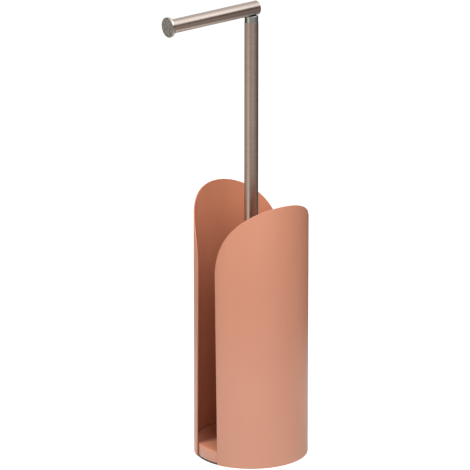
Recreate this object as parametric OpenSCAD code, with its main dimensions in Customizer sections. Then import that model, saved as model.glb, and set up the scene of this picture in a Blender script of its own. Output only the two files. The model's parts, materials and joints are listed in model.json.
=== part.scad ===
// Free-standing toilet roll holder. Two rolled sheet panels stand round a
// weighted base and keep the spare rolls, which slide over the pole. The roll
// in use hangs on the arm, and the arm folds up behind the pole for loading.
// Millimetres, Z up, the middle of the pad's underside at the origin. The
// front slot and the arm point towards -Y.

/* [Panels] */
// Outer radius of the two rolled panels
panel_r = 65; // [58:1:75]
// Height of the highest point of a panel above the floor
panel_top = 307.6; // [260:0.2:360]
// Thickness of the panel sheet
sheet_t = 1.2; // [0.8:0.1:1.8]
// Width of the front slot at the floor, along the curve
front_slot_w = 40; // [28:0.2:50]
// Width of the rear gap at the floor, along the curve
rear_gap_w = 36.4; // [24:0.2:50]
// Lean of both panels towards the front slot, in degrees
panel_lean = 0.88; // [0:0.02:1.4]
// Height of the panels' lower edge above the floor
panel_lift = 0.4; // [0.2:0.1:1]

/* [Base] */
// Thickness of the rubber pad
pad_t = 1.8; // [1:0.1:3]
// Height of the pressed cover above the pad
cover_h = 13.6; // [12:0.2:20]
// Wall of the pressed cover
cover_t = 1.2; // [0.8:0.1:1.6]
// Outer radius of the cover's top edge
cover_round = 2; // [1.8:0.1:3.5]
// Gap between the cover and the panels all round
cover_gap = 0.8; // [0.2:0.1:1]
// Gap between the cover and the ballast inside it
ballast_gap = 0.5; // [0.3:0.1:1]
// Step from the cover's side in to the pad's edge
pad_step = 0.2; // [0.1:0.1:1]

/* [Panel fixing] */
// Number of welded lugs on each panel
lug_count = 3; // [2:1:4]
// Angle between neighbouring lugs, in degrees
lug_step = 48; // [38:1:48]
// Width of a lug
lug_w = 15; // [12:0.5:20]
// Distance from the panel's inner face to the lug's screw
lug_reach = 10; // [8:0.5:14]
// Diameter of the panel screws
screw_d = 4; // [3:0.5:5]
// Height of the screw heads
screw_head_h = 2; // [1.6:0.1:2.4]
// Gap between the screw heads and the pad
head_gap = 0.2; // [0.1:0.05:0.4]
// Depth of screw thread in the ballast
screw_bite = 5.5; // [4:0.5:6]

/* [Tube] */
// Outer diameter of the tube that the pole and the arm are cut from
tube_d = 16; // [14:0.5:18]
// Wall of the tube
tube_t = 1.2; // [1:0.1:1.6]
// Height of the pole's rim above the floor
pole_top = 506.8; // [440:0.2:580]

/* [Pole fixing] */
// Length of the threaded plug in the pole's foot
foot_plug_l = 18; // [14:1:26]
// Diameter of the bolt that holds the pole
bolt_d = 6; // [5:0.5:7]
// Height of the bolt's hexagon head
bolt_head_h = 4; // [3:0.2:4.4]
// Thickness of the flat washer under the bolt head
flat_washer_t = 1.2; // [0.8:0.1:1.6]
// Thickness of the split spring washer
split_washer_t = 1.4; // [1:0.1:1.6]

/* [Arm] */
// Distance from the pole's axis to the outer face of the arm's end cap
arm_reach = 114.7; // [95:0.1:150]
// Diameter of the end cap
cap_d = 22.8; // [20:0.2:28]
// Thickness of the end cap
cap_t = 3.2; // [1.6:0.1:4]
// Gap between the end cap and the end of the tube
cap_gap = 0.8; // [0.4:0.1:1.5]
// Length of the cap's shank inside the tube
cap_shank_l = 14; // [8:1:24]
// Droop of the resting arm towards its cap, in degrees
arm_droop = 1.7; // [0:0.1:2]

/* [Hinge] */
// Height of the arm's underside above the pole's rim
neck_h = 7.4; // [7.2:0.05:8]
// Height of the hinge pin above the pole's rim
pin_up = 2.8; // [2.7:0.05:3]
// Diameter of the hinge pin
pin_d = 2.5; // [2:0.1:2.8]
// Gap between the arm and the fixed parts, flat on the pole and folded up
fold_gap = 0.35; // [0.3:0.05:0.5]
// Step from the tube's outside in to the fork's ears
ear_step = 0.2; // [0.1:0.1:1]
// Radius of the ears' rounded top edge
ear_edge = 1.2; // [0.6:0.1:1.6]
// Width of the slot between the fork's ears
fork_slot_w = 2.8; // [2.8:0.1:3.6]
// Thickness of the tongue in the slot
tongue_t = 2.2; // [1.8:0.1:2.4]
// Thickness of the two hinge washers
hinge_washer_t = 0.2; // [0.1:0.05:0.25]
// Length of the fork's shank inside the pole
fork_shank_l = 20; // [12:1:30]
// Diameter of the dowel that holds the tongue in the arm
dowel_d = 3; // [2:0.5:4]

/* [Hidden] */
// Overrun of every cutting tool past the face that it cuts
over = 1;
// Gap round a part that is pushed into its seat by hand
slip = 0.05;
// Running clearance of the hinge pin in the tongue, on the radius
pin_play = 0.05;

// The sheet of a panel is cut with a full-round top, so half its width is also
// the radius of the round. Both are lengths along the rolled curve.
lobe_r = (PI * panel_r - (front_slot_w + rear_gap_w) / 2) / 2;
lobe_mid_z = panel_top - lobe_r;
panel_mid_u = front_slot_w / 2 + lobe_r;
panel_in_r = panel_r - sheet_t;
// Steps of the round top, from its widest row to the flat little crest row
lobe_steps = 30;
crest_deg = 88;
// Facets of the cutting solid's back, and how far it reaches past the sheet
back_steps = 6;
cutter_in_share = 0.7;
cutter_out_share = 1.15;

cover_r = panel_in_r - cover_gap;
cover_top = pad_t + cover_h;
cover_under = cover_top - cover_t;
ballast_r = cover_r - cover_t - ballast_gap;
// Chamfer that keeps the ballast out of the cover's inner rounding
ballast_edge = 0.5;
pad_r = cover_r - pad_step;

lug_room = 0.4;
lug_under = pad_t + screw_head_h + head_gap;
lug_top = lug_under + sheet_t;
screw_r_at = panel_in_r - lug_reach;
screw_head_d = 2 * screw_d;
drive_w_share = 0.25;
drive_l_share = 0.6;
drive_depth_share = 0.5;

tube_r = tube_d / 2;
bore_r = tube_r - tube_t;
shank_r = bore_r - slip;

hex_across_share = 1.65;
bolt_head_d = hex_across_share * bolt_d;
washer_d = 2 * bolt_d;
split_washer_d_share = 1.7;
split_washer_d = split_washer_d_share * bolt_d;
split_w_share = 0.25;
split_w = split_w_share * bolt_d;
bolt_room = 0.5;
pocket_r = washer_d / 2 + bolt_room;
bolt_stack = bolt_head_h + split_washer_t + flat_washer_t;
pocket_top = pad_t + bolt_room + bolt_stack;
bolt_bite = 2 * bolt_d;
socket_depth_share = 0.55;
socket_d_share = 0.55;

arm_z = pole_top + neck_h + tube_r;
arm_rear = tube_r;
arm_front = -arm_reach + cap_t + cap_gap;
cap_edge = 0.4;

// The pin lies so far back that the folded arm just clears the pole's back.
pin_y = tube_r + fold_gap - (neck_h - pin_up);
pin_z = pole_top + pin_up;
ear_r = tube_r - ear_step;
// The drooping arm comes down by this much over the front of the ears.
droop_drop = (pin_y + ear_r) * tan(arm_droop);
ear_top = pole_top + neck_h - fold_gap - droop_drop;
ear_round = ear_top - pin_z;
collar_h = 0.2;
pin_half = sqrt(pow(ear_r, 2) - pow(pin_y + pin_d / 2, 2));
tongue_r = pin_up - fold_gap;
slot_floor = pin_z - tongue_r - fold_gap / 2;
tongue_front = 7.2;
tongue_above = tube_r + dowel_d;
hinge_washer_d_share = 1.8;
hinge_washer_d = hinge_washer_d_share * pin_d;
tongue_y_mid = pin_y - (tongue_front - tongue_r) / 2;
dowel_z = arm_z;
rear_plug_l = arm_rear - pin_y + tongue_front + dowel_d;

steel = "#8f8680";
steel_dark = "#6f6864";
chrome = "#b9bcbf";
paint = "#cf8f77";
paint_top = "#c58a74";
rubber = "#2f2725";
iron = "#55504c";
zinc = "#a7a9ab";

// A point at radius r and height z, where u is the distance along the curve of
// the panel's outer face from the middle of the front slot
function on_roll(r, u, z) =
    let (a = u / panel_r * 180 / PI) [r * sin(a), -r * cos(a), z];

// Middle of the leaning panel at height z, along the curve
function mid_u(z) = panel_mid_u - z * tan(panel_lean);

// Half width and height of the panel's outline at each row, from below the
// floor, up the straight sides and round the top
function outline_rows() = concat(
    [[lobe_r, -over]],
    [for (i = [0:lobe_steps])
        let (t = crest_deg * i / lobe_steps)
        [lobe_r * cos(t), lobe_mid_z + lobe_r * sin(t)]]
);

// One row of the cutting solid: in at the front edge, round the back of the
// sheet and in again at the rear edge
function cutter_row(half_w, z) =
    let (u0 = mid_u(z) - half_w, u1 = mid_u(z) + half_w)
    concat(
        [on_roll(panel_r * cutter_in_share, u0, z)],
        [for (k = [0:back_steps])
            on_roll(panel_r * cutter_out_share, u0 + (u1 - u0) * k / back_steps, z)],
        [on_roll(panel_r * cutter_in_share, u1, z)]
    );

// Solid whose edges run square through the sheet along the panel's outline
module outline_cutter() {
    rows = outline_rows();
    n = len(rows);
    k = back_steps + 3;
    points = [for (row = rows) each cutter_row(row[0], row[1])];
    sides = [for (i = [0:n - 2], j = [0:k - 1])
        let (a = i * k + j, b = i * k + (j + 1) % k)
        each [[a, a + k, b], [b, a + k, b + k]]];
    foot = [for (j = [0:k - 1]) j];
    crest = [for (j = [k - 1:-1:0]) (n - 1) * k + j];
    polyhedron(points, concat([foot, crest], sides), convexity = 4);
}

// Puts its children at every lug of the right panel
module at_lugs() {
    mid = panel_mid_u / panel_r * 180 / PI;
    for (i = [0:lug_count - 1])
        rotate([0, 0, mid - 90 + (i - (lug_count - 1) / 2) * lug_step]) children();
}

// Puts its children at every lug of both panels
module at_all_lugs() {
    at_lugs() children();
    mirror([1, 0, 0]) at_lugs() children();
}

// Outline of a lug, from out_r inwards, with a round inner end
module lug_outline(room, out_r) {
    translate([screw_r_at, -lug_w / 2 - room])
        square([out_r - screw_r_at, lug_w + 2 * room]);
    translate([screw_r_at, 0]) circle(r = lug_w / 2 + room, $fn = 64);
}

// Ring of the given radii between two heights
module ring(outer_r, inner_r, z0, z1) {
    translate([0, 0, z0]) difference() {
        cylinder(r = outer_r, h = z1 - z0, $fn = 96);
        translate([0, 0, -over]) cylinder(r = inner_r, h = z1 - z0 + 2 * over, $fn = 96);
    }
}

// Rolled sheet panel on the +X side, with its welded lugs
module panel() {
    intersection() {
        translate([0, 0, panel_lift]) difference() {
            cylinder(r = panel_r, h = panel_top, $fn = 180);
            translate([0, 0, -over]) cylinder(r = panel_in_r, h = panel_top + 2 * over, $fn = 180);
        }
        outline_cutter();
    }
    at_lugs() difference() {
        translate([0, 0, lug_under]) linear_extrude(sheet_t)
            lug_outline(0, panel_in_r + sheet_t / 2);
        translate([screw_r_at, 0, lug_under - over])
            cylinder(r = screw_d / 2 + slip, h = sheet_t + 2 * over, $fn = 48);
    }
}

module right_panel() {
    color(paint) panel();
}

module left_panel() {
    color(paint) mirror([1, 0, 0]) panel();
}

// Rubber pad under the whole base
module base_pad() {
    color(rubber) cylinder(r = pad_r, h = pad_t, $fn = 180);
}

// Cast disc that keeps the stand from tipping, with an eased top edge and
// notches for the lugs
module base_ballast() {
    color(iron) difference() {
        rotate_extrude($fn = 180) polygon([
            [0, pad_t], [ballast_r, pad_t], [ballast_r, cover_under - ballast_edge],
            [ballast_r - ballast_edge, cover_under], [0, cover_under]
        ]);
        translate([0, 0, pad_t - over]) cylinder(r = bolt_d / 2 + slip, h = cover_top, $fn = 48);
        translate([0, 0, pad_t - over])
            cylinder(r = pocket_r, h = pocket_top - pad_t + over, $fn = 64);
        at_all_lugs() {
            translate([0, 0, pad_t - over]) linear_extrude(lug_top - pad_t + over)
                lug_outline(lug_room, panel_in_r);
            translate([screw_r_at, 0, lug_top - over])
                cylinder(r = screw_d / 2 + slip, h = screw_bite + slip + over, $fn = 48);
        }
    }
}

// Pressed cup over the ballast, with a rounded top edge and notches for the lugs
module base_cover() {
    inner_round = cover_round - cover_t;
    color(paint_top) difference() {
        rotate_extrude($fn = 180) difference() {
            union() {
                translate([0, pad_t]) square([cover_r, cover_h - cover_round]);
                translate([0, pad_t]) square([cover_r - cover_round, cover_h]);
                translate([cover_r - cover_round, cover_top - cover_round])
                    circle(r = cover_round, $fn = 64);
            }
            translate([0, pad_t - over])
                square([cover_r - cover_t, cover_h - cover_round + over]);
            translate([0, pad_t - over])
                square([cover_r - cover_round, cover_h - cover_t + over]);
            translate([cover_r - cover_round, cover_top - cover_round])
                circle(r = inner_round, $fn = 64);
            translate([-over - cover_r, pad_t - over])
                square([over + cover_r, cover_h + 2 * over]);
        }
        translate([0, 0, pad_t]) cylinder(r = bolt_d / 2 + slip, h = cover_top, $fn = 48);
        at_all_lugs() translate([0, 0, pad_t - over])
            linear_extrude(lug_top - pad_t + lug_room + over)
                lug_outline(lug_room, panel_in_r + over);
    }
}

// Pan-head screws that hold the lugs up against the ballast
module panel_screws() {
    color(zinc) at_all_lugs() translate([screw_r_at, 0, 0]) difference() {
        union() {
            translate([0, 0, lug_under - screw_head_h])
                cylinder(r = screw_head_d / 2, h = screw_head_h, $fn = 48);
            translate([0, 0, lug_under])
                cylinder(r = screw_d / 2, h = sheet_t + screw_bite, $fn = 48);
        }
        for (turn = [0, 90]) rotate([0, 0, turn])
            translate([-screw_head_d * drive_l_share / 2, -screw_d * drive_w_share / 2,
                       lug_under - screw_head_h - over])
                cube([screw_head_d * drive_l_share, screw_d * drive_w_share,
                      over + screw_head_h * drive_depth_share]);
    }
}

// Upright tube that stands on the base and carries the spare rolls
module pole_tube() {
    color(steel) ring(tube_r, bore_r, cover_top, pole_top);
}

// Threaded plug pressed into the pole's foot
module pole_foot_plug() {
    color(zinc) ring(shank_r, bolt_d / 2 + slip, cover_top, cover_top + foot_plug_l);
}

// Socket-head bolt that pulls the pole down on the base from below
module pole_bolt() {
    head_z = pad_t + bolt_room;
    color(zinc) difference() {
        union() {
            translate([0, 0, head_z]) cylinder(r = bolt_head_d / 2, h = bolt_head_h, $fn = 64);
            translate([0, 0, head_z])
                cylinder(r = bolt_d / 2, h = cover_top + bolt_bite - head_z, $fn = 48);
        }
        translate([0, 0, head_z - over])
            cylinder(r = bolt_d * socket_d_share, h = over + bolt_head_h * socket_depth_share, $fn = 6);
    }
}

// Split spring washer next to the bolt's head
module pole_split_washer() {
    z0 = pad_t + bolt_room + bolt_head_h;
    color(zinc) difference() {
        ring(split_washer_d / 2, bolt_d / 2 + slip, z0, z0 + split_washer_t);
        translate([0, -split_w / 2, z0 - over])
            cube([split_washer_d, split_w, split_washer_t + 2 * over]);
    }
}

// Flat washer between the spring washer and the ballast
module pole_washer() {
    z0 = pocket_top - flat_washer_t;
    color(zinc) ring(washer_d / 2, bolt_d / 2 + slip, z0, pocket_top);
}

// Side outline of the fork's ears, as width along Y and height along Z, with a
// back that is round about the pin so that the arm can fold past it
module ear_outline() {
    difference() {
        translate([-tube_r, pole_top]) square([2 * tube_r, ear_top - pole_top]);
        difference() {
            translate([pin_y, pin_z]) square([2 * tube_r, 2 * ear_round]);
            translate([pin_y, pin_z]) circle(r = ear_round, $fn = 64);
        }
    }
}

// Turned blank of the ears, with a rounded top edge
module ear_blank() {
    height = ear_top - pole_top;
    translate([0, 0, pole_top]) rotate_extrude($fn = 96) {
        square([ear_r, height - ear_edge]);
        square([ear_r - ear_edge, height]);
        intersection() {
            translate([ear_r - ear_edge, height - ear_edge]) circle(r = ear_edge, $fn = 64);
            square([ear_r, height]);
        }
    }
}

// Extrudes a side outline, drawn as Y across and Z up, by w on both sides of X = 0
module across(w) {
    translate([-w / 2, 0, 0]) rotate([90, 0, 90]) linear_extrude(w) children();
}

// Plug in the pole's rim with the two ears of the arm's hinge
module hinge_fork() {
    color(chrome) difference() {
        union() {
            translate([0, 0, pole_top - fork_shank_l])
                cylinder(r = shank_r, h = fork_shank_l + collar_h, $fn = 96);
            intersection() {
                ear_blank();
                across(tube_d) ear_outline();
            }
        }
        translate([-fork_slot_w / 2, -tube_d, slot_floor])
            cube([fork_slot_w, 2 * tube_d, neck_h + over]);
        translate([-tube_d, pin_y, pin_z]) rotate([0, 90, 0])
            cylinder(r = pin_d / 2, h = 2 * tube_d, $fn = 48);
    }
}

// Turns what is drawn for a level arm about the hinge pin, down to where it rests
module at_rest() {
    translate([0, pin_y, pin_z]) rotate([arm_droop, 0, 0])
        translate([0, -pin_y, -pin_z]) children();
}

// Side outline of the tongue, about the hinge pin
module tongue_outline() {
    under = arm_z - tube_r - pin_z;
    translate([pin_y, pin_z]) {
        circle(r = tongue_r, $fn = 64);
        polygon([
            [tongue_r, 0], [tongue_r, under + tongue_above], [-tongue_front, under + tongue_above],
            [-tongue_front, under - fold_gap], [-tongue_r, 0]
        ]);
    }
}

// Plate that hangs from the arm and turns on the hinge pin
module hinge_tongue() {
    color(steel_dark) at_rest() difference() {
        across(tongue_t) tongue_outline();
        translate([-tube_d, pin_y, pin_z]) rotate([0, 90, 0])
            cylinder(r = pin_d / 2 + pin_play, h = 2 * tube_d, $fn = 48);
        translate([-tube_d, tongue_y_mid, dowel_z]) rotate([0, 90, 0])
            cylinder(r = dowel_d / 2, h = 2 * tube_d, $fn = 48);
    }
}

// Pin through both ears and the tongue
module hinge_pin() {
    color(steel) translate([-pin_half, pin_y, pin_z]) rotate([0, 90, 0])
        cylinder(r = pin_d / 2, h = 2 * pin_half, $fn = 48);
}

// Two thin washers on the pin, one against each ear
module hinge_washers() {
    color(steel) for (side = [-1, 1])
        translate([side * (fork_slot_w - hinge_washer_t) / 2, pin_y, pin_z]) rotate([0, 90, 0])
            translate([0, 0, -hinge_washer_t / 2]) difference() {
                cylinder(r = hinge_washer_d / 2, h = hinge_washer_t, $fn = 48);
                translate([0, 0, -over])
                    cylinder(r = pin_d / 2 + slip, h = hinge_washer_t + 2 * over, $fn = 48);
            }
}

// Cross dowel that locks the tongue in the arm's rear plug
module tongue_dowel() {
    half = shank_r - dowel_d / 2;
    color(steel) at_rest() translate([-half, tongue_y_mid, dowel_z]) rotate([0, 90, 0])
        cylinder(r = dowel_d / 2, h = 2 * half, $fn = 48);
}

// Puts a solid that is drawn along +Z on the arm's axis, running forwards from y
module along_arm(y) {
    translate([0, y, arm_z]) rotate([90, 0, 0]) children();
}

// Tube that the roll in use hangs on, with the tongue's slot underneath
module arm_tube() {
    length = arm_rear - arm_front;
    color(steel) at_rest() difference() {
        along_arm(arm_rear) difference() {
            cylinder(r = tube_r, h = length, $fn = 96);
            translate([0, 0, -over]) cylinder(r = bore_r, h = length + 2 * over, $fn = 96);
        }
        translate([-tongue_t / 2 - slip, pin_y - tongue_front - slip, arm_z - tube_d])
            cube([tongue_t + 2 * slip, tongue_front + tongue_r + 2 * slip, tube_d]);
    }
}

// Disc on the arm's free end that keeps the roll on, with its shank in the tube
module arm_end_cap() {
    color(steel) at_rest() along_arm(arm_front + cap_shank_l) {
        cylinder(r = shank_r, h = cap_shank_l + cap_gap + over, $fn = 96);
        translate([0, 0, cap_shank_l + cap_gap]) {
            cylinder(r1 = cap_d / 2 - cap_edge, r2 = cap_d / 2, h = cap_edge, $fn = 128);
            translate([0, 0, cap_edge]) cylinder(r = cap_d / 2, h = cap_t - 2 * cap_edge, $fn = 128);
            translate([0, 0, cap_t - cap_edge])
                cylinder(r1 = cap_d / 2, r2 = cap_d / 2 - cap_edge, h = cap_edge, $fn = 128);
        }
    }
}

// Solid plug in the arm's rear end, slotted for the tongue
module arm_rear_plug() {
    color(steel) at_rest() difference() {
        along_arm(arm_rear) cylinder(r = shank_r, h = rear_plug_l, $fn = 96);
        translate([-tongue_t / 2 - slip, pin_y - tongue_front - slip, arm_z - tube_d])
            cube([tongue_t + 2 * slip, tongue_front + tongue_r + 2 * slip,
                  tube_d - tube_r + tongue_above + slip]);
        translate([-tube_d, tongue_y_mid, dowel_z]) rotate([0, 90, 0])
            cylinder(r = dowel_d / 2, h = 2 * tube_d, $fn = 48);
    }
}

base_pad();
base_ballast();
base_cover();
left_panel();
right_panel();
panel_screws();
pole_tube();
pole_foot_plug();
pole_bolt();
pole_washer();
pole_split_washer();
hinge_fork();
hinge_tongue();
hinge_pin();
hinge_washers();
tongue_dowel();
arm_tube();
arm_end_cap();
arm_rear_plug();
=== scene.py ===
"""Dresses a free-standing toilet roll holder: panels, base, pole and folding arm.

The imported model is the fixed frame. Every piece that shows is modelled again here with
softened edges, in the place of its plain solid, and each finish is a node material. Lengths
are in metres, Z is up, and the front slot and the arm point towards -Y.
"""

import json
import logging
import math
from contextlib import contextmanager
from dataclasses import dataclass
from enum import Enum
from typing import Any, Callable, Iterator, Sequence

import bpy
from bpy.types import Material, Node, NodeSocket, NodeTree, Object
from mathutils import Matrix, Vector

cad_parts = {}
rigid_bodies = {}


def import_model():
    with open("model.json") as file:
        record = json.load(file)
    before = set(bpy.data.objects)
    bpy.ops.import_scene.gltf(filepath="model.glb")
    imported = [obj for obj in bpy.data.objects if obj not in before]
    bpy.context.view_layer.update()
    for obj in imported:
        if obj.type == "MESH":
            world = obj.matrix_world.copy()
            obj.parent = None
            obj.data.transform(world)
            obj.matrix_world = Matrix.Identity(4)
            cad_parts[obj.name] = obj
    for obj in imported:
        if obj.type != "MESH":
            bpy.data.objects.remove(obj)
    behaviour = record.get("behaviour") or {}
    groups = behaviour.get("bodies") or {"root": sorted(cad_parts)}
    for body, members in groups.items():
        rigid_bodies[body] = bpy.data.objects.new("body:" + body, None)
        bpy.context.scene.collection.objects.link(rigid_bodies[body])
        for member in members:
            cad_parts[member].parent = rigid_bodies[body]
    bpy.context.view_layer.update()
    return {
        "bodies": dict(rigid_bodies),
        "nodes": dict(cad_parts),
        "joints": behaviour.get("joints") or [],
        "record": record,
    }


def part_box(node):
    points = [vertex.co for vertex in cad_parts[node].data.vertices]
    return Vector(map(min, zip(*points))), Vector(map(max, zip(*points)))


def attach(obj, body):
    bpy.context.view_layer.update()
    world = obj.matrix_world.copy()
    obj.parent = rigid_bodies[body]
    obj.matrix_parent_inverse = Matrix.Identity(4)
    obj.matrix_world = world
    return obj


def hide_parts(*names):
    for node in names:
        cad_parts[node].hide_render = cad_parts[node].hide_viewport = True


LOG = logging.getLogger("roll_holder")
MM = 0.001
WHITE = (1.0, 1.0, 1.0, 1.0)
# Where the camera stands, as an angle round the holder from -Y towards +X, in degrees
CAMERA_AZIMUTH = 53.568
TUBE_WALL = 1.2 * MM
TUBE_SIDES = 128
# How far from a place an edge may lie and still be picked there
NEAR = 0.1 * MM
# A face whose normal has at least this cosine with a direction faces that way
FACING = 0.9
# Points nearer than this are merged when a piece is finished
WELD = 0.002 * MM
# The widest angle that is still shaded smooth, in degrees
SMOOTH = 42
# Sockets of the Mix node when it mixes colours
SHARE, FIRST, SECOND, MIXED = 0, 6, 7, 2


def linear(code: str) -> tuple[float, float, float, float]:
    """Turns an sRGB hex colour into linear light.

    Args:
        code: Six hex digits with a leading hash.

    Returns:
        Red, green and blue in linear light, and an alpha of 1.
    """
    parts = [int(code[i:i + 2], 16) / 255 for i in (1, 3, 5)]
    light = [p / 12.92 if p <= 0.04045 else ((p + 0.055) / 1.055) ** 2.4 for p in parts]
    return light[0], light[1], light[2], 1.0


def add_node(tree: NodeTree, kind: str, links: dict[str | int, Any] | None = None,
             **settings: Any) -> Node:
    """Adds one node with its settings, socket values and links.

    Args:
        tree: The node tree to add to.
        kind: The node's type name.
        links: What goes into each input, by name or number: an output socket or a value.
        settings: Properties of the node itself.

    Returns:
        The new node.
    """
    node = tree.nodes.new(kind)
    for name, value in settings.items():
        setattr(node, name, value)
    for name, value in (links or {}).items():
        if isinstance(value, NodeSocket):
            tree.links.new(value, node.inputs[name])
        else:
            node.inputs[name].default_value = value
    return node


class Brush(Enum):
    """The axis that a tube's brush lines run round."""

    ROUND_Y = "Y"
    ROUND_Z = "Z"


def new_material(
        name: str, constants: dict[str, Any]) -> tuple[Material, NodeTree, Node, NodeSocket]:
    """Makes a material with its principled shader.

    Args:
        name: What the finish is called.
        constants: The shader's values that are the same all over the surface.

    Returns:
        The material, its node tree, its shader and the place on the piece.
    """
    material = bpy.data.materials.new(name)
    material.use_nodes = True
    tree = material.node_tree
    shader = next(n for n in tree.nodes if n.type == "BSDF_PRINCIPLED")
    for socket, value in constants.items():
        shader.inputs[socket].default_value = value
    return material, tree, shader, add_node(tree, "ShaderNodeTexCoord").outputs["Object"]


def press_grain(tree: NodeTree, shader: Node, place: NodeSocket,
                size: float, height: float, layers: float, fade: float = 0.5) -> NodeSocket:
    """Presses an irregular grain into the surface.

    Args:
        tree: The material's node tree.
        shader: Its shader.
        place: The place on the piece.
        size: How wide one grain is.
        height: How high the grain stands.
        layers: How many finer layers it has.
        fade: How strong each finer layer is beside the one before.

    Returns:
        The pattern, from 0 to 1.
    """
    noise = add_node(tree, "ShaderNodeTexNoise",
                     {"Vector": place, "Scale": 1 / size, "Detail": layers, "Roughness": fade})
    bump = add_node(tree, "ShaderNodeBump",
                    {"Height": noise.outputs["Fac"], "Distance": height})
    tree.links.new(bump.outputs["Normal"], shader.inputs["Normal"])
    return noise.outputs["Fac"]


@dataclass(frozen=True)
class PowderCoat:
    """Matt polyester powder coat, sprayed and baked on steel sheet.

    The cured film keeps a faint orange peel, so its broad soft sheen breaks up a little.
    """

    name: str = "terracotta_powder_coat"
    colour: str = "#c7866a"
    deeper: str = "#c28166"
    roughness: float = 0.42
    ior: float = 1.55
    specular_level: float = 1.0
    cloud: float = 60 * MM
    peel: float = 1.6 * MM
    peel_height: float = 0.012 * MM

    def build(self) -> Material:
        """Returns the material."""
        material, tree, shader, place = new_material(
            self.name, {"Roughness": self.roughness, "IOR": self.ior,
                        "Specular IOR Level": self.specular_level})
        cloud = add_node(tree, "ShaderNodeTexNoise",
                         {"Vector": place, "Scale": 1 / self.cloud, "Detail": 3.0})
        tone = add_node(tree, "ShaderNodeMix",
                        {SHARE: cloud.outputs["Fac"], FIRST: linear(self.colour),
                         SECOND: linear(self.deeper)}, data_type="RGBA")
        tree.links.new(tone.outputs[MIXED], shader.inputs["Base Color"])
        press_grain(tree, shader, place, self.peel, self.peel_height, layers=2)
        return material


@dataclass(frozen=True)
class BrushedSteel:
    """Stainless steel tube, satin ground on a belt so that fine lines run round it.

    The lines blur reflections along the tube and leave them sharp across it.
    """

    name: str
    brush: Brush
    colour: str = "#d3c8c2"
    darker: str = "#cabfb9"
    roughness: float = 0.3
    # How far the roughness falls and rises with the pattern
    spread: tuple[float, float] = (-0.04, 0.06)
    # The stretch of the pattern in which the colour changes
    change: tuple[float, float] = (0.35, 0.65)
    anisotropy: float = 0.8
    # A quarter turn stretches the highlight across the lines instead of along them
    highlight_turn: float = 0.25
    # Real lines are a fraction of this apart: they are drawn coarser here so that they show
    line_pitch: float = 1.2 * MM
    line_depth: float = 0.003 * MM
    line_length: float = 14 * MM

    def build(self) -> Material:
        """Returns the material."""
        material, tree, shader, place = new_material(
            self.name, {"Metallic": 1.0, "Anisotropic": self.anisotropy,
                        "Anisotropic Rotation": self.highlight_turn})
        fine, long = 1 / self.line_pitch, 1 / self.line_length
        scale = (long, fine, long) if self.brush is Brush.ROUND_Y else (long, long, fine)
        stretched = add_node(tree, "ShaderNodeMapping", {"Vector": place, "Scale": scale})
        lines = press_grain(tree, shader, stretched.outputs["Vector"], 1, self.line_depth, layers=4)
        turn = add_node(tree, "ShaderNodeTangent", direction_type="RADIAL", axis=self.brush.value)
        tree.links.new(turn.outputs["Tangent"], shader.inputs["Tangent"])
        vary_steel(self, tree, shader, lines)
        return material


@dataclass(frozen=True)
class TurnedFace:
    """Stainless steel disc, faced and satin brushed flat, with a fine irregular grain."""

    name: str = "satin_stainless_face"
    colour: str = "#dcdcda"
    darker: str = "#a6a6a4"
    roughness: float = 0.32
    # How far the roughness falls and rises with the pattern
    spread: tuple[float, float] = (-0.06, 0.08)
    # The stretch of the pattern in which the colour changes
    change: tuple[float, float] = (0.38, 0.62)
    # The real grain is a fraction of this wide: it is drawn coarser here so that it shows
    grain: float = 2.0 * MM
    grain_depth: float = 0.012 * MM

    def build(self) -> Material:
        """Returns the material."""
        material, tree, shader, place = new_material(self.name, {"Metallic": 1.0})
        grain = press_grain(tree, shader, place, self.grain, self.grain_depth, layers=5, fade=0.6)
        vary_steel(self, tree, shader, grain)
        return material


def vary_steel(steel: BrushedSteel | TurnedFace, tree: NodeTree, shader: Node,
               pattern: NodeSocket) -> None:
    """Lets a pattern change a steel's gloss and colour from place to place.

    Args:
        steel: The finish, with its two colours, its roughness and how far they change.
        tree: The material's node tree.
        shader: Its shader.
        pattern: The pattern, from 0 to 1.
    """
    smoother, rougher = (steel.roughness + step for step in steel.spread)
    worn = add_node(tree, "ShaderNodeMapRange",
                    {"Value": pattern, "To Min": smoother, "To Max": rougher})
    tree.links.new(worn.outputs["Result"], shader.inputs["Roughness"])
    low, high = steel.change
    streak = add_node(tree, "ShaderNodeMapRange", {"Value": pattern, "From Min": low, "From Max": high})
    tone = add_node(tree, "ShaderNodeMix",
                    {SHARE: streak.outputs["Result"], FIRST: linear(steel.darker),
                     SECOND: linear(steel.colour)}, data_type="RGBA")
    tree.links.new(tone.outputs[MIXED], shader.inputs["Base Color"])


@dataclass(frozen=True)
class PlatedMetal:
    """Cast or turned metal under thin plate, polished or bright drawn.

    A slow waviness left by the casting or the polishing bends its reflections a little.
    """

    name: str
    colour: str
    roughness: float
    wave: float = 3.0 * MM
    wave_height: float = 0.02 * MM

    def build(self) -> Material:
        """Returns the material."""
        material, tree, shader, place = new_material(
            self.name, {"Base Color": linear(self.colour), "Roughness": self.roughness,
                        "Metallic": 1.0})
        press_grain(tree, shader, place, self.wave, self.wave_height, layers=2)
        return material


@dataclass(frozen=True)
class MattSolid:
    """Matt material with a grainy skin, such as moulded rubber or sand-cast iron."""

    name: str
    colour: str
    paler: str
    roughness: float
    grain: float
    grain_height: float

    def build(self) -> Material:
        """Returns the material."""
        material, tree, shader, place = new_material(self.name, {"Roughness": self.roughness})
        grain = press_grain(tree, shader, place, self.grain, self.grain_height, layers=6, fade=0.65)
        tone = add_node(tree, "ShaderNodeMix",
                        {SHARE: grain, FIRST: linear(self.colour), SECOND: linear(self.paler)},
                        data_type="RGBA")
        tree.links.new(tone.outputs[MIXED], shader.inputs["Base Color"])
        return material


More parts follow.
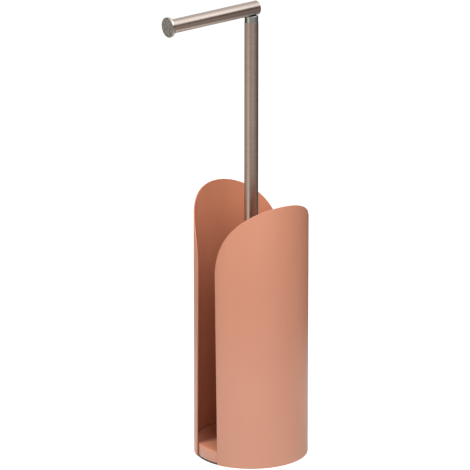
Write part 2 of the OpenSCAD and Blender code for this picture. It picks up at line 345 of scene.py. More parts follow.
@dataclass(frozen=True)
class Finishes:
    """Every finish of the holder, built once and shared by its pieces."""

    paint: Material
    # Painted shade: the inside of a rolled panel takes a darker, rougher copy of the paint with little
    # sheen, which stands in for the shade in there
    inside_paint: Material
    pole_steel: Material
    arm_steel: Material
    face_steel: Material
    edge_steel: Material
    chrome: Material
    bright_steel: Material
    zinc: Material
    rubber: Material
    iron: Material

    @classmethod
    def build(cls) -> "Finishes":
        """Returns the full set of materials."""
        return cls(
            paint=PowderCoat().build(),
            # A darker copy of the paint with little sheen, for painted shade inside the panels
            inside_paint=PowderCoat("terracotta_powder_coat_inside", colour="#c58163", deeper="#c07c5f",
                                    roughness=0.65, specular_level=0.08).build(),
            pole_steel=BrushedSteel("satin_stainless_pole", Brush.ROUND_Z).build(),
            arm_steel=BrushedSteel("satin_stainless_arm", Brush.ROUND_Y).build(),
            face_steel=TurnedFace().build(),
            edge_steel=PlatedMetal("polished_stainless_edge", "#e4e2df", 0.24).build(),
            chrome=PlatedMetal("chrome_plated_zinc_casting", "#bcc8cc", 0.07, wave=2.4 * MM,
                               wave_height=0.09 * MM).build(),
            bright_steel=PlatedMetal("bright_drawn_steel", "#8f8a86", 0.3).build(),
            zinc=PlatedMetal("zinc_plated_steel", "#b3b5b8", 0.36).build(),
            rubber=MattSolid("moulded_rubber", "#2c2523", "#3a312e", 0.8, grain=0.9 * MM,
                             grain_height=0.03 * MM).build(),
            iron=MattSolid("sand_cast_iron", "#3e3a37", "#55504c", 0.75, grain=2.2 * MM,
                           grain_height=0.15 * MM).build(),
        )


def select_only(*pieces: Object) -> None:
    """Selects these pieces alone and makes the first one active.

    Args:
        pieces: The pieces, or none to clear the selection that loading the frame leaves.
    """
    for thing in bpy.context.view_layer.objects:
        thing.select_set(thing in pieces)
    if pieces:
        bpy.context.view_layer.objects.active = pieces[0]


def start(operator: Callable[..., Any], **options: Any) -> Object:
    """Adds a primitive as the only selected object.

    Args:
        operator: One of the primitive operators.
        options: Its size and place.

    Returns:
        The new object, which is active.
    """
    select_only()
    operator(**options)
    return bpy.context.active_object


@contextmanager
def editing(piece: Object, elements: str = "VERT") -> Iterator[None]:
    """Opens a piece in edit mode with nothing selected.

    Args:
        piece: The piece to edit.
        elements: VERT, EDGE or FACE.
    """
    select_only(piece)
    bpy.ops.object.mode_set(mode="EDIT")
    bpy.ops.mesh.select_mode(type=elements)
    bpy.ops.mesh.select_all(action="DESELECT")
    yield
    bpy.ops.object.mode_set(mode="OBJECT")


def select_edges(piece: Object, test: Callable[[Vector, Vector], bool]) -> None:
    """Selects the edges of the piece in edit mode whose two ends pass a test.

    Args:
        piece: The piece that is being edited.
        test: Takes the edge's two ends.
    """
    bpy.ops.mesh.select_all(action="DESELECT")
    bpy.ops.object.mode_set(mode="OBJECT")
    for edge in piece.data.edges:
        edge.select = test(*(piece.matrix_world @ piece.data.vertices[i].co for i in edge.vertices))
    bpy.ops.object.mode_set(mode="EDIT")


def select_faces(piece: Object, test: Callable[[Vector], bool]) -> None:
    """Selects the faces of the piece in edit mode whose normal passes a test.

    Args:
        piece: The piece that is being edited.
        test: Takes the face's normal.
    """
    bpy.ops.mesh.select_all(action="DESELECT")
    bpy.ops.object.mode_set(mode="OBJECT")
    turn = piece.matrix_world.to_3x3()
    for face in piece.data.polygons:
        face.select = test(turn @ face.normal)
    bpy.ops.object.mode_set(mode="EDIT")


def apply_modifier(piece: Object, kind: str, **settings: Any) -> None:
    """Adds one modifier and applies it.

    Args:
        piece: The piece to change.
        kind: The modifier's type.
        settings: The modifier's own settings.
    """
    select_only(piece)
    modifier = piece.modifiers.new(kind.title(), kind)
    for name, value in settings.items():
        setattr(modifier, name, value)
    bpy.ops.object.modifier_apply(modifier=modifier.name)


def soften(piece: Object, width: float, segments: int = 3, angle: float = 40) -> None:
    """Rounds every sharp edge of a piece.

    Args:
        piece: The piece to change.
        width: How wide the rounding is.
        segments: How many faces it has across.
        angle: The least angle of an edge that counts as sharp, in degrees.
    """
    apply_modifier(piece, "BEVEL", width=width, segments=segments, limit_method="ANGLE",
                   angle_limit=math.radians(angle), miter_outer="MITER_ARC")


def cut(piece: Object, *tools: Object, operation: str = "DIFFERENCE") -> None:
    """Cuts, joins or trims a piece with other solids, which are used up.

    Args:
        piece: The piece to change.
        tools: The solids to use, one after the other.
        operation: DIFFERENCE, UNION or INTERSECT.
    """
    for tool in tools:
        apply_modifier(piece, "BOOLEAN", object=tool, operation=operation, solver="EXACT")
        bpy.data.objects.remove(tool)


def settle(piece: Object) -> None:
    """Moves a piece's place into its mesh, so that its object sits at the origin."""
    select_only(piece)
    bpy.ops.object.transform_apply(location=True, rotation=True, scale=True)


def block(low: Sequence[float], high: Sequence[float]) -> Object:
    """Adds a box between two corners, with its place in its mesh.

    Args:
        low: The lowest corner.
        high: The highest corner.

    Returns:
        The box.
    """
    middle = [(a + b) / 2 for a, b in zip(low, high)]
    size = [b - a for a, b in zip(low, high)]
    box = start(bpy.ops.mesh.primitive_cube_add, size=1, location=middle, scale=size)
    settle(box)
    return box


def rod(radius: float, low: Sequence[float], high: Sequence[float], sides: int = 96,
        ends: str = "NGON") -> Object:
    """Adds a round bar between two points, with its place in its mesh.

    Args:
        radius: The bar's radius.
        low: The middle of one end.
        high: The middle of the other end.
        sides: How many faces it has round it.
        ends: NGON for closed ends, NOTHING for open ones.

    Returns:
        The bar.
    """
    a, b = Vector(low), Vector(high)
    turn = (b - a).to_track_quat("Z", "Y").to_euler()
    bar = start(bpy.ops.mesh.primitive_cylinder_add, vertices=sides, radius=radius,
                depth=(b - a).length, end_fill_type=ends, location=(a + b) / 2, rotation=turn)
    settle(bar)
    return bar


def finish_piece(piece: Object, name: str, material: Material, body: str,
                 slot: str, *nodes: str) -> None:
    """Names, shades, dresses and seats a finished piece.

    Args:
        piece: The finished piece.
        name: What it is called.
        material: Its finish.
        body: The body that it moves with.
        slot: The record's material slot that the piece belongs to; not used.
        nodes: The solids that it stands for.
    """
    settle(piece)
    piece.name = name
    piece.data.name = name
    with editing(piece):
        bpy.ops.mesh.select_all(action="SELECT")
        bpy.ops.mesh.remove_doubles(threshold=WELD)
        bpy.ops.mesh.normals_make_consistent(inside=False)
    bpy.ops.object.shade_smooth_by_angle(angle=math.radians(SMOOTH))
    piece.data.materials.clear()
    piece.data.materials.append(material)
    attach(piece, body)
    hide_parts(*nodes)
    LOG.info("%s: %d faces on %s", name, len(piece.data.polygons), body)


@dataclass(frozen=True)
class Measures:
    """Sizes that several sub-assemblies share, read from the frame."""

    tube_r: float
    bore_r: float
    pole_low: float
    pole_top: float
    droop: float
    pin_y: float
    pin_z: float
    arm_lift: float
    panel_r: float
    panel_top: float
    panel_foot: float
    pad_top: float

    @classmethod
    def from_frame(cls, frame: dict[str, Any]) -> "Measures":
        """Reads the shared sizes.

        Args:
            frame: What loading the frame gave.

        Returns:
            The sizes.
        """
        pole_low, pole_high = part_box("pole_tube")
        panel_low, panel_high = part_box("right_panel")
        pin = frame["joints"][0]["pos_m"]
        arm = next(m for m in frame["record"]["mounts"] if m["name"] == "roll_arm")
        tube_r = (pole_high.x - pole_low.x) / 2
        return cls(
            tube_r=tube_r,
            bore_r=tube_r - TUBE_WALL,
            pole_low=pole_low.z,
            pole_top=pole_high.z,
            droop=math.asin(-arm["axis"][2]),
            pin_y=pin[1],
            pin_z=pin[2],
            arm_lift=(Vector(arm["pos_m"]) - Vector(pin)).cross(Vector(arm["axis"])).length,
            panel_r=panel_high.x,
            panel_top=panel_high.z,
            panel_foot=panel_low.z,
            pad_top=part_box("base_pad")[1].z,
        )

    @property
    def lowering(self) -> Matrix:
        """The turn about the hinge pin that lowers a level arm to where it rests."""
        pin = Vector((0, self.pin_y, self.pin_z))
        return (Matrix.Translation(pin) @ Matrix.Rotation(self.droop, 4, "X")
                @ Matrix.Translation(-pin))

    def level_box(self, solid: Object) -> tuple[Vector, Vector]:
        """Gives the box of one of the arm's solids as it is on a level arm.

        Args:
            solid: The frame's solid, which rests drooping.

        Returns:
            Its lowest and highest corners.
        """
        raising = self.lowering.inverted()
        points = [raising @ vertex.co for vertex in solid.data.vertices]
        low, high = (Vector(pick(p[i] for p in points) for i in range(3)) for pick in (min, max))
        return low, high


@dataclass
class Panel:
    """One of the two rolled sheet panels, with the lugs welded inside its foot."""

    measures: Measures
    finishes: Finishes
    side: int
    sheet: float = 1.2 * MM
    slot_width: float = 40 * MM
    gap_width: float = 36.4 * MM
    lean: float = math.radians(0.88)
    edge_round: float = 0.34 * MM
    strips: int = 84
    round_steps: int = 96
    lug_angles: tuple[float, ...] = (-48.0, 0.0, 48.0)
    lug_width: float = 15 * MM
    lug_reach: float = 10 * MM
    lug_lift: float = 2.2 * MM
    lug_edge: float = 0.2 * MM
    # What stays flat between the two roundings of a lug's inner end
    lug_flat: float = 0.01 * MM

    @property
    def half(self) -> float:
        """Half the sheet's width, which is also the radius of its round top."""
        m = self.measures
        return (math.pi * m.panel_r - (self.slot_width + self.gap_width) / 2) / 2

    @property
    def middle(self) -> float:
        """Angle from the middle of the front slot to the middle of the panel's foot."""
        return (self.slot_width / 2 + self.half) / self.measures.panel_r

    def flat_sheet(self) -> Object:
        """Draws the sheet flat, as it is cut, standing in the XZ plane and facing -Y.

        Returns:
            The sheet, with no thickness.
        """
        m, half = self.measures, self.half
        mid_z = m.panel_top - half
        sheet = start(bpy.ops.mesh.primitive_circle_add, vertices=2 * self.round_steps,
                      radius=half, fill_type="NGON", location=(0, 0, mid_z),
                      rotation=(math.radians(90), 0, 0))
        settle(sheet)
        with editing(sheet, "EDGE"):
            bpy.ops.mesh.select_all(action="SELECT")
            bpy.ops.mesh.bisect(plane_co=(0, 0, mid_z), plane_no=(0, 0, -1), clear_outer=True)
            select_edges(sheet, lambda a, b: max(abs(a.z - mid_z), abs(b.z - mid_z)) < NEAR)
            bpy.ops.mesh.extrude_region_move(
                TRANSFORM_OT_translate={"value": (0, 0, -mid_z - half * math.tan(self.lean) * 2)})
            bpy.ops.mesh.select_all(action="SELECT")
            bpy.ops.transform.rotate(value=self.side * self.lean, orient_axis="Y",
                                     center_override=(0, 0, 0))
            bpy.ops.mesh.select_all(action="SELECT")
            bpy.ops.mesh.bisect(plane_co=(0, 0, m.panel_foot), plane_no=(0, 0, -1), clear_outer=True)
            for i in range(1, self.strips):
                x = half * (2 * i / self.strips - 1)
                bpy.ops.mesh.select_all(action="SELECT")
                bpy.ops.mesh.bisect(plane_co=(x, 0, 0), plane_no=(1, 0, 0))
        return sheet

    def roll(self, sheet: Object) -> None:
        """Gives the sheet its thickness and soft edges, and rolls it round the base.

        Args:
            sheet: The flat sheet.
        """
        m = self.measures
        apply_modifier(sheet, "SOLIDIFY", thickness=self.sheet, offset=-1)
        soften(sheet, self.edge_round)
        xs = [v.co.x for v in sheet.data.vertices]
        apply_modifier(sheet, "SIMPLE_DEFORM", deform_method="BEND", deform_axis="Z",
                       angle=(max(xs) - min(xs)) / m.panel_r)
        sheet.location = (0, -m.panel_r, 0)
        settle(sheet)
        sheet.rotation_euler = (0, 0, self.side * self.middle)
        settle(sheet)

    def lug(self, angle: float) -> Object:
        """Makes one welded lug with a round inner end.

        Args:
            angle: Its angle from the panel's middle, in degrees.

        Returns:
            The lug.
        """
        m = self.measures
        low_z = m.pad_top + self.lug_lift
        inner = m.panel_r - self.sheet - self.lug_reach - self.lug_width / 2
        lug = block((-self.lug_width / 2, -m.panel_r + self.sheet / 2, low_z),
                    (self.lug_width / 2, -inner, low_z + self.sheet))
        with editing(lug, "EDGE"):
            select_edges(lug, lambda a, b: abs(a.z - b.z) > NEAR and a.y > -inner - NEAR)
            bpy.ops.mesh.bevel(offset=self.lug_width / 2 - self.lug_flat, segments=12, affect="EDGES")
        soften(lug, self.lug_edge, segments=2)
        lug.rotation_euler = (0, 0, self.side * (self.middle + math.radians(angle)))
        settle(lug)
        return lug

    def build(self) -> None:
        """Makes the panel, and coats its inside with the darker copy of the paint, as painted shade."""
        sheet = self.flat_sheet()
        self.roll(sheet)
        select_only(sheet, *[self.lug(angle) for angle in self.lug_angles])
        bpy.ops.object.join()
        word = "right" if self.side > 0 else "left"
        finish_piece(sheet, f"{word}_panel_sheet", self.finishes.paint, "stand",
                     "terracotta_paint", f"{word}_panel")
        # The faces turned towards the axis take the darker inside paint: painted shade inside the roll
        sheet.data.materials.append(self.finishes.inside_paint)
        for face in sheet.data.polygons:
            if face.normal.xy.dot(face.center.xy.normalized()) < -FACING:
                face.material_index = 1


@dataclass
class Base:
    """The round weighted base: rubber pad, ballast and pressed cover."""

    measures: Measures
    finishes: Finishes
    cover_wall: float = 1.2 * MM
    cover_round: float = 2.0 * MM
    cover_edge: float = 0.25 * MM
    pad_border: float = 2.0 * MM
    pad_edge: float = 0.3 * MM
    sides: int = 180

    def cover(self) -> None:
        """Makes the pressed cup with its rounded top edge."""
        low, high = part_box("base_cover")
        radius, height = high.x, high.z - low.z
        cup = start(bpy.ops.mesh.primitive_circle_add, vertices=self.sides, radius=radius,
                    fill_type="NGON", location=(0, 0, high.z))
        settle(cup)
        with editing(cup, "EDGE"):
            bpy.ops.mesh.select_all(action="SELECT")
            bpy.ops.mesh.inset(thickness=3 * self.cover_round)
            select_edges(cup, lambda a, b: min(a.xy.length, b.xy.length) > radius - NEAR)
            bpy.ops.mesh.extrude_region_move(TRANSFORM_OT_translate={"value": (0, 0, -height)})
            select_edges(cup, lambda a, b: min(a.xy.length, b.xy.length) > radius - NEAR
                         and min(a.z, b.z) > high.z - NEAR)
            bpy.ops.mesh.bevel(offset=self.cover_round, segments=8, affect="EDGES")
            bpy.ops.mesh.select_all(action="SELECT")
            bpy.ops.mesh.normals_make_consistent(inside=False)
        apply_modifier(cup, "SOLIDIFY", thickness=self.cover_wall, offset=-1)
        soften(cup, self.cover_edge, segments=2, angle=60)
        finish_piece(cup, "base_cover_pressing", self.finishes.paint, "stand",
                     "terracotta_paint", "base_cover")

    def pad(self) -> None:
        """Makes the rubber pad with softened rims."""
        low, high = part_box("base_pad")
        pad = rod(high.x, (0, 0, low.z), (0, 0, high.z), self.sides)
        with editing(pad, "FACE"):
            select_faces(pad, lambda n: abs(n.z) > FACING)
            bpy.ops.mesh.inset(thickness=self.pad_border, use_individual=True)
        soften(pad, self.pad_edge)
        finish_piece(pad, "base_rubber_pad", self.finishes.rubber, "stand", "rubber", "base_pad")

    def build(self) -> None:
        """Makes the base's pieces."""
        self.cover()
        self.pad()


@dataclass
class Pole:
    """The upright tube and the hinge fork in its rim."""

    measures: Measures
    finishes: Finishes
    rim_round: float = 0.1 * MM
    ear_r: float = 7.8 * MM
    collar: float = 0.2 * MM
    slot_width: float = 2.8 * MM
    # Height of the slot's floor above the tube's rim
    slot_floor: float = 0.175 * MM
    slip: float = 0.05 * MM
    ear_edge: float = 1.2 * MM
    ear_weld: float = 0.005 * MM
    polish: float = 0.4 * MM
    # How far the ears reach from the pin beside the arm, which lies in a hollow between them
    ear_reach: float = 5.3 * MM
    arm_room: float = 0.25 * MM

    def tube(self) -> None:
        """Makes the pole's tube with softened rims."""
        m = self.measures
        tube = rod(m.tube_r, (0, 0, m.pole_low), (0, 0, m.pole_top), TUBE_SIDES, "NOTHING")
        apply_modifier(tube, "SOLIDIFY", thickness=m.tube_r - m.bore_r, offset=-1)
        soften(tube, self.rim_round)
        finish_piece(tube, "pole_brushed_tube", self.finishes.pole_steel, "stand",
                     "brushed_steel", "pole_tube")

    def arm_sweep(self) -> list[Object]:
        """Returns the room that the arm's tube takes at rest and while it turns up."""
        m = self.measures
        radius, far = m.tube_r + self.arm_room, 2 * m.arm_lift
        axis_z = m.pin_z + m.arm_lift
        lying = rod(radius, (0, -far, axis_z), (0, m.pin_y + self.arm_room, axis_z))
        turning = start(bpy.ops.mesh.primitive_torus_add, major_radius=m.arm_lift,
                        minor_radius=radius, major_segments=TUBE_SIDES, minor_segments=96,
                        location=(0, m.pin_y, m.pin_z), rotation=(0, math.pi / 2, 0))
        settle(turning)
        cut(turning, block((-far, m.pin_y, m.pin_z), (far, m.pin_y + far, m.pin_z + far)),
            operation="INTERSECT")
        for room in (lying, turning):
            room.matrix_world = m.lowering
            settle(room)
        return [lying, turning]

    def fork(self) -> None:
        """Makes the plug with its two ears, slotted for the tongue and drilled for the pin.

        The ears' top slants with the drooping arm, which lies in a hollow in it. Their back is
        round about the pin, so that the arm can turn.
        """
        m = self.measures
        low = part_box("hinge_fork")[0]
        top, wide = m.pin_z + self.ear_reach, 2 * self.ear_r
        ears = rod(self.ear_r, (0, 0, m.pole_top), (0, 0, top))
        with editing(ears, "EDGE"):
            select_edges(ears, lambda a, b: min(a.z, b.z) > top - NEAR)
            bpy.ops.mesh.bevel(offset=self.ear_edge, segments=8, affect="EDGES")
        side = block((-wide, -wide, m.pole_top - self.ear_reach),
                     (wide, m.pin_y + self.ear_reach, top))
        with editing(side, "EDGE"):
            select_edges(side, lambda a, b: min(a.z, b.z) > top - NEAR and min(a.y, b.y) > 0)
            bpy.ops.mesh.bevel(offset=self.ear_reach, segments=14, affect="EDGES")
        side.matrix_world = m.lowering
        settle(side)
        cut(ears, side, operation="INTERSECT")
        with editing(ears, "EDGE"):
            bpy.ops.mesh.select_all(action="SELECT")
            bpy.ops.mesh.remove_doubles(threshold=self.ear_weld)
        shank = rod(m.bore_r - self.slip, (0, 0, low.z), (0, 0, m.pole_top + self.collar))
        cut(ears, shank, operation="UNION")
        half, floor = self.slot_width / 2, m.pole_top + self.slot_floor
        cut(ears, block((-half, -wide, floor), (half, wide, 2 * top - floor)))
        soften(ears, self.polish, segments=4, angle=35)
        cut(ears, *self.arm_sweep())
        pin_low, pin_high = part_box("hinge_pin")
        cut(ears, rod((pin_high.z - pin_low.z) / 2, (-wide, m.pin_y, m.pin_z),
                      (wide, m.pin_y, m.pin_z), sides=48))
        finish_piece(ears, "hinge_fork_casting", self.finishes.chrome, "stand", "chrome",
                     "hinge_fork")

    def build(self) -> None:
        """Makes the pole's pieces."""
        self.tube()
        self.fork()


@dataclass
class Arm:
    """The folding arm: tube, end cap and rear plug.

    Each piece is modelled on a level arm and then lowered about the hinge pin.
    """

    measures: Measures
    finishes: Finishes
    nodes: dict[str, Object]
    rim_round: float = 0.3 * MM
    slip: float = 0.05 * MM
    cap_thick: float = 3.2 * MM
    cap_edge: float = 0.35 * MM
    cap_border: float = 1.2 * MM
    # Faces this near to square to the arm belong to the cap's edge
    cap_side: float = 0.2
    plug_border: float = 1.0 * MM
    plug_edge: float = 0.25 * MM

    def size(self, node: str) -> tuple[Vector, Vector, float]:
        """Gives the level box of one of the arm's solids, and the height of the arm's axis.

        Args:
            node: The solid's name.

        Returns:
            The lowest corner, the highest corner and the axis height.
        """
        tube_low, tube_high = self.measures.level_box(self.nodes["arm_tube"])
        low, high = self.measures.level_box(self.nodes[node])
        return low, high, (tube_low.z + tube_high.z) / 2

    def lower(self, piece: Object) -> None:
        """Turns a piece about the hinge pin to where the arm rests.

        Args:
            piece: The piece, modelled on the level arm.
        """
        piece.matrix_world = self.measures.lowering
        settle(piece)

    def tongue_slot(self) -> Object:
        """Returns a block that cuts the tongue's slot."""
        low, high, _ = self.size("hinge_tongue")
        grow = self.slip
        return block((low.x - grow, low.y - grow, low.z), (high.x + grow, high.y + grow, high.z + grow))

    def tube(self) -> None:
        """Makes the arm's tube, slotted underneath."""
        m = self.measures
        low, high, axis_z = self.size("arm_tube")
        tube = rod(m.tube_r, (0, high.y, axis_z), (0, low.y, axis_z), TUBE_SIDES, "NOTHING")
        apply_modifier(tube, "SOLIDIFY", thickness=m.tube_r - m.bore_r, offset=-1)
        soften(tube, self.rim_round)
        slot = self.tongue_slot()
        cut(slot, block((-m.tube_r, -m.tube_r, axis_z), (m.tube_r, 2 * m.tube_r, axis_z + m.tube_r)))
        cut(tube, slot)
        self.lower(tube)
        finish_piece(tube, "arm_brushed_tube", self.finishes.arm_steel, "arm",
                     "brushed_steel", "arm_tube")

    def cap(self) -> None:
        """Makes the end cap: a disc with a bright eased edge on a plain shank."""
        low, high, axis_z = self.size("arm_end_cap")
        shank_r = self.measures.bore_r - self.slip
        back = low.y + self.cap_thick
        cap = rod(shank_r, (0, high.y, axis_z), (0, back, axis_z), TUBE_SIDES)
        with editing(cap, "FACE"):
            select_faces(cap, lambda n: n.y < -FACING)
            bpy.ops.mesh.extrude_region_move(TRANSFORM_OT_translate={"value": (0, 0, 0)})
            scale = high.x / shank_r
            bpy.ops.transform.resize(value=(scale, 1, scale), center_override=(0, back, axis_z))
            bpy.ops.mesh.extrude_region_move(
                TRANSFORM_OT_translate={"value": (0, low.y - back, 0)})
            bpy.ops.mesh.inset(thickness=self.cap_border)
        soften(cap, self.cap_edge)
        self.lower(cap)
        finish_piece(cap, "arm_end_cap_disc", self.finishes.face_steel, "arm",
                     "brushed_steel", "arm_end_cap")
        cap.data.materials.append(self.finishes.edge_steel)
        ahead = self.measures.lowering.to_3x3() @ Vector((0, -1, 0))
        for face in cap.data.polygons:
            if abs(face.normal.dot(ahead)) < self.cap_side:
                face.material_index = 1

    def rear_plug(self) -> None:
        """Makes the plug that closes the arm's rear end."""
        low, high, axis_z = self.size("arm_rear_plug")
        plug = rod(self.measures.bore_r - self.slip, (0, low.y, axis_z), (0, high.y, axis_z))
        with editing(plug, "FACE"):
            select_faces(plug, lambda n: n.y > FACING)
            bpy.ops.mesh.inset(thickness=self.plug_border)
        soften(plug, self.plug_edge)
        cut(plug, self.tongue_slot())
        self.lower(plug)
        finish_piece(plug, "arm_rear_disc", self.finishes.face_steel, "arm",
                     "brushed_steel", "arm_rear_plug")

    def build(self) -> None:
        """Makes the arm's pieces."""
        self.tube()
        self.cap()
        self.rear_plug()


@dataclass
class InnerPieces:
    """Small pieces whose plain solids are right as they are and only need a finish."""

    finishes: Finishes
    steel: tuple[str, ...] = ("hinge_tongue", "hinge_pin", "hinge_washers", "tongue_dowel")
    zinc: tuple[str, ...] = ("panel_screws", "pole_foot_plug", "pole_bolt", "pole_washer",
                             "pole_split_washer")
    iron: tuple[str, ...] = ("base_ballast",)

    def dress(self, nodes: dict[str, Object]) -> None:
        """Gives each carried solid its finish.

        Args:
            nodes: The frame's solids by name.
        """
        groups = ((self.steel, self.finishes.bright_steel), (self.zinc, self.finishes.zinc),
                  (self.iron, self.finishes.iron))
        for names, material in groups:
            for name in names:
                solid = nodes[name]
                solid.data.materials.clear()
                solid.data.materials.append(material)
                LOG.info("%s: dressed in %s", name, material.name)


@dataclass
class PhotoCamera:
    """A long lens a little above the holder, turned as in the photograph."""

    distance: float = 5.909
    height: float = 2.11716
    pitch: float = 17.4692
    turn: float = 0.1766
    roll: float = 0.0133
    # Focal length and image width in the photograph's pixels, and sensor width in millimetres
    focal: float = 5485.74
    image_width: int = 470
    sensor: float = 36
    sight: float = 50

    def build(self) -> None:
        """Makes the camera and sets it as the scene's own."""
        data = bpy.data.cameras.new("photo_camera")
        data.lens = self.focal * self.sensor / self.image_width
        data.sensor_width = self.sensor
        data.clip_end = self.sight
        camera = bpy.data.objects.new("photo_camera", data)
        bpy.context.scene.collection.objects.link(camera)
        a = math.radians(CAMERA_AZIMUTH)
        place = Matrix.Translation((self.distance * math.sin(a), -self.distance * math.cos(a),
                                    self.height))
        heading = Matrix.Rotation(a + math.radians(self.turn), 4, "Z")
        tilt = Matrix.Rotation(math.radians(90 - self.pitch), 4, "X")
        roll = Matrix.Rotation(math.radians(self.roll), 4, "Z")
        camera.matrix_world = place @ heading @ tilt @ roll
        bpy.context.scene.camera = camera


@dataclass(frozen=True)
class Lamp:
    """A rectangular soft lamp, placed by its direction and distance from the holder's middle."""

    name: str
    azimuth: float
    elevation: float
    distance: float
    width: float
    height: float
    watts: float


@dataclass
class Studio:
    """White studio: pale floor, soft lamps, and painted reflections of dark and bright screens for the
    metal.

    Directions are given as degrees to the right of the camera, seen from the holder. The
    lamps light the paint. Metal doesn't mirror them but painted reflections of screens, which
    are painted as colour on the floor and the surround for glossy rays alone.
    """

    lamps: tuple[Lamp, ...] = (
        Lamp("front_lamp", 27, 29, 3.2, width=3.4, height=2.2, watts=80),
        Lamp("top_lamp", 20, 50, 3.2, width=1.4, height=1.4, watts=26),
        Lamp("slot_lamp", -57, 58, 2.2, width=0.8, height=0.8, watts=38),
        Lamp("rear_lamp", -118, 24, 2.8, width=1.4, height=1.8, watts=17))
    middle: tuple[float, float, float] = (0.0, 0.0, 0.25)
    floor_size: float = 60.0
    floor_colour: str = "#b6b5b3"
    floor_roughness: float = 0.9
    ambient: float = 0.14
    # A glow of the floor that the camera alone sees, so that it shows white
    camera_lift: float = 0.8
    # The painted glow that glossy rays see on the floor next to the holder fades between these distances
    # to that further off
    painted_glow: float = 1.5
    glow_near: float = 0.27
    glow_far: float = 0.52
    # Painted reflection: how bright the floor next to the holder shows to glossy rays, round the holder
    painted_close_by: tuple[tuple[float, str], ...] = (
        (-180, "#d9d8d6"), (-120, "#dddbd8"), (-60, "#f7f5f2"), (0, "#fffefc"), (45, "#e9e6e2"),
        (66, "#d4d1cc"), (92, "#c8c5c0"), (118, "#d0cdc8"), (145, "#d6d3ce"), (180, "#d9d8d6"))
    # Painted reflection: how bright the floor further off and the horizon show to glossy rays, round the
    # holder
    painted_round_about: tuple[tuple[float, str], ...] = (
        (-180, "#e0dcd8"), (-150, "#cdc8c4"), (-125, "#a9a5a0"), (-108, "#9c9690"),
        (-84, "#b9ada2"), (-62, "#d8c3b2"), (-46, "#ffe8d4"), (-30, "#bcab9e"),
        (-12, "#ab9d93"), (10, "#aea298"), (34, "#b3a79d"), (50, "#a3978e"), (74, "#93877f"),
        (95, "#80756e"), (120, "#5f5853"), (150, "#57514d"), (180, "#e0dcd8"))
    # The same painted reflection on the surround, at the height of the arm
    horizon: tuple[tuple[float, str], ...] = (
        (-180, "#e0dcd8"), (-125, "#a9a5a0"), (-108, "#a5a19c"), (-62, "#ccbaab"),
        (-12, "#ab9d93"), (34, "#b3a79d"), (54, "#7d6f67"), (72, "#5d4c45"), (96, "#5d5049"),
        (150, "#57514d"), (180, "#e0dcd8"))
    # The same painted reflection for the screens overhead, which are stronger by the gain
    overhead: tuple[tuple[float, str], ...] = (
        (-180, "#a49f9b"), (-90, "#a09b97"), (0, "#a7a29e"), (50, "#bcb9b5"), (74, "#f4f3f1"),
        (90, "#f6f4f1"), (104, "#dfdcd8"), (126, "#bfbcb8"), (150, "#b0ada9"), (180, "#a49f9b"))
    overhead_gain: float = 2.0
    # Elevations between which the painted horizon gives way to the painted screens overhead
    screen_low: float = 22.0
    screen_high: float = 36.0

    def hang(self, plan: Lamp) -> None:
        """Adds a lamp that faces the holder, and that metal doesn't mirror.

        Args:
            plan: The lamp's place, size and power.
        """
        data = bpy.data.lights.new(plan.name, "AREA")
        data.shape = "RECTANGLE"
        data.size, data.size_y = plan.width, plan.height
        data.energy = plan.watts
        lamp = bpy.data.objects.new(plan.name, data)
        lamp.visible_glossy = False
        bpy.context.scene.collection.objects.link(lamp)
        a, e = math.radians(CAMERA_AZIMUTH + plan.azimuth), math.radians(plan.elevation)
        away = Vector((math.sin(a) * math.cos(e), -math.cos(a) * math.cos(e), math.sin(e)))
        place = Matrix.Translation(Vector(self.middle) + plan.distance * away)
        lamp.matrix_world = place @ (-away).to_track_quat("-Z", "Y").to_matrix().to_4x4()

    def round_ramp(self, tree: NodeTree, place: NodeSocket,
                   stops: Sequence[tuple[float, str]]) -> NodeSocket:
        """Adds a colour that changes with the direction from the holder.

        Args:
            tree: The node tree to add to.
            place: The point or direction to colour.
            stops: Degrees to the right of the camera, and the colour there.

        Returns:
            The colour.
        """
        a = math.radians(CAMERA_AZIMUTH)
        ahead, right = (math.sin(a), -math.cos(a), 0.0), (math.cos(a), math.sin(a), 0.0)
        parts = [add_node(tree, "ShaderNodeVectorMath", {0: place, 1: way}, operation="DOT_PRODUCT")
                 for way in (right, ahead)]
        angle = add_node(tree, "ShaderNodeMath",
                         {i: part.outputs["Value"] for i, part in enumerate(parts)},
                         operation="ARCTAN2")
        share = add_node(tree, "ShaderNodeMapRange",
                         {"Value": angle.outputs[0], "From Min": -math.pi, "From Max": math.pi})
        node = add_node(tree, "ShaderNodeValToRGB", {"Fac": share.outputs["Result"]})
        ramp = node.color_ramp
        ramp.interpolation = "EASE"
        for position, code in stops:
            at = (position + 180) / 360
            stop = (ramp.elements[0] if at == 0 else ramp.elements[-1] if at == 1
                    else ramp.elements.new(at))
            stop.color = linear(code)
        return node.outputs["Color"]

    def floor(self) -> None:
        """Makes the pale floor, which shows white and keeps the holder's shadow, and shows painted
        reflections to glossy rays.
        """
        floor = start(bpy.ops.mesh.primitive_plane_add, size=self.floor_size, location=(0, 0, 0))
        floor.name = "studio_floor"
        material, tree, shader, place = new_material(
            "white_studio_floor", {"Base Color": linear(self.floor_colour),
                                   "Roughness": self.floor_roughness})
        path = add_node(tree, "ShaderNodeLightPath")
        reach = add_node(tree, "ShaderNodeVectorMath", {0: place}, operation="LENGTH")
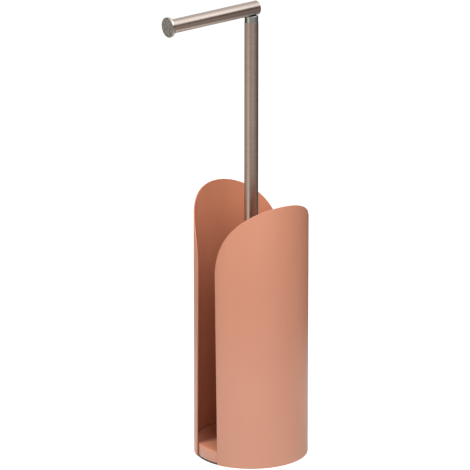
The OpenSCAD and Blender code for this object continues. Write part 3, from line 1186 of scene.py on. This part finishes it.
        # The floor under the holder stays dark where it shows through the gap round the base
        under_sheet = (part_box("base_cover")[1].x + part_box("right_panel")[1].x) / 2
        beside = add_node(tree, "ShaderNodeMath", {0: reach.outputs["Value"], 1: under_sheet},
                          operation="GREATER_THAN")
        seen = add_node(tree, "ShaderNodeMath", {0: path.outputs["Is Camera Ray"], 1: beside.outputs[0]},
                        operation="MULTIPLY")
        lift = add_node(tree, "ShaderNodeMath", {0: seen.outputs[0], 1: self.camera_lift},
                        operation="MULTIPLY")
        white = add_node(tree, "ShaderNodeEmission", {"Color": WHITE, "Strength": lift.outputs[0]})
        matt = add_node(tree, "ShaderNodeAddShader", {0: shader.outputs[0], 1: white.outputs[0]})
        # Glossy rays see a painted reflection on the floor: a glow, bright next to the holder and in
        # bands further off
        far = self.round_ramp(tree, place, self.painted_round_about)
        near = add_node(tree, "ShaderNodeMapRange",
                        {"Value": reach.outputs["Value"], "From Min": self.glow_near,
                         "From Max": self.glow_far, "To Min": 1.0, "To Max": 0.0},
                        interpolation_type="SMOOTHSTEP")
        painted_near = add_node(tree, "ShaderNodeVectorMath",
                       {0: self.round_ramp(tree, place, self.painted_close_by), "Scale": self.painted_glow},
                       operation="SCALE")
        shade = add_node(tree, "ShaderNodeMix",
                         {SHARE: near.outputs["Result"], FIRST: far, SECOND: painted_near.outputs["Vector"]},
                         data_type="RGBA")
        painted_mirror = add_node(tree, "ShaderNodeEmission", {"Color": shade.outputs[MIXED]})
        both = add_node(tree, "ShaderNodeMixShader",
                        {0: path.outputs["Is Glossy Ray"], 1: matt.outputs[0], 2: painted_mirror.outputs[0]})
        output = next(n for n in tree.nodes if n.type == "OUTPUT_MATERIAL")
        tree.links.new(both.outputs[0], output.inputs["Surface"])
        floor.data.materials.append(material)

    def surround(self) -> None:
        """Makes the world: white to the eye, and painted reflections of screens for glossy rays."""
        world = bpy.data.worlds.new("white_studio")
        bpy.context.scene.world = world
        world.use_nodes = True
        tree = world.node_tree
        tree.nodes.clear()
        # Glossy rays see painted reflections: bands round the holder, and brighter screens overhead
        way = add_node(tree, "ShaderNodeTexCoord").outputs["Generated"]
        horizon = self.round_ramp(tree, way, self.horizon)
        above = add_node(tree, "ShaderNodeVectorMath",
                         {0: self.round_ramp(tree, way, self.overhead), "Scale": self.overhead_gain},
                         operation="SCALE")
        up = add_node(tree, "ShaderNodeSeparateXYZ", {"Vector": way}).outputs["Z"]
        rise = add_node(tree, "ShaderNodeMapRange",
                        {"Value": up, "From Min": math.sin(math.radians(self.screen_low)),
                         "From Max": math.sin(math.radians(self.screen_high))},
                        interpolation_type="SMOOTHSTEP")
        sky = add_node(tree, "ShaderNodeMix",
                       {SHARE: rise.outputs["Result"], FIRST: horizon, SECOND: above.outputs["Vector"]},
                       data_type="RGBA")
        painted_mirror = add_node(tree, "ShaderNodeBackground", {"Color": sky.outputs[MIXED]})
        light = add_node(tree, "ShaderNodeBackground", {"Color": WHITE, "Strength": self.ambient})
        white = add_node(tree, "ShaderNodeBackground", {"Color": WHITE})
        path = add_node(tree, "ShaderNodeLightPath")
        glossy = add_node(tree, "ShaderNodeMixShader",
                          {0: path.outputs["Is Glossy Ray"], 1: light.outputs[0], 2: painted_mirror.outputs[0]})
        seen = add_node(tree, "ShaderNodeMixShader",
                        {0: path.outputs["Is Camera Ray"], 1: glossy.outputs[0], 2: white.outputs[0]})
        add_node(tree, "ShaderNodeOutputWorld", {"Surface": seen.outputs[0]})

    def build(self) -> None:
        """Sets up the floor, the lamps and the surround."""
        self.floor()
        for plan in self.lamps:
            self.hang(plan)
        self.surround()


def main() -> None:
    """Builds the holder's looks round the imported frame."""
    logging.basicConfig(level=logging.INFO, format="%(name)s: %(message)s")
    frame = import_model()
    bpy.context.scene.view_settings.view_transform = "Standard"
    PhotoCamera().build()
    measures = Measures.from_frame(frame)
    finishes = Finishes.build()
    for side in (1, -1):
        Panel(measures, finishes, side).build()
    Base(measures, finishes).build()
    Pole(measures, finishes).build()
    Arm(measures, finishes, frame["nodes"]).build()
    InnerPieces(finishes).dress(frame["nodes"])
    Studio().build()


if __name__ == "__main__":
    main()
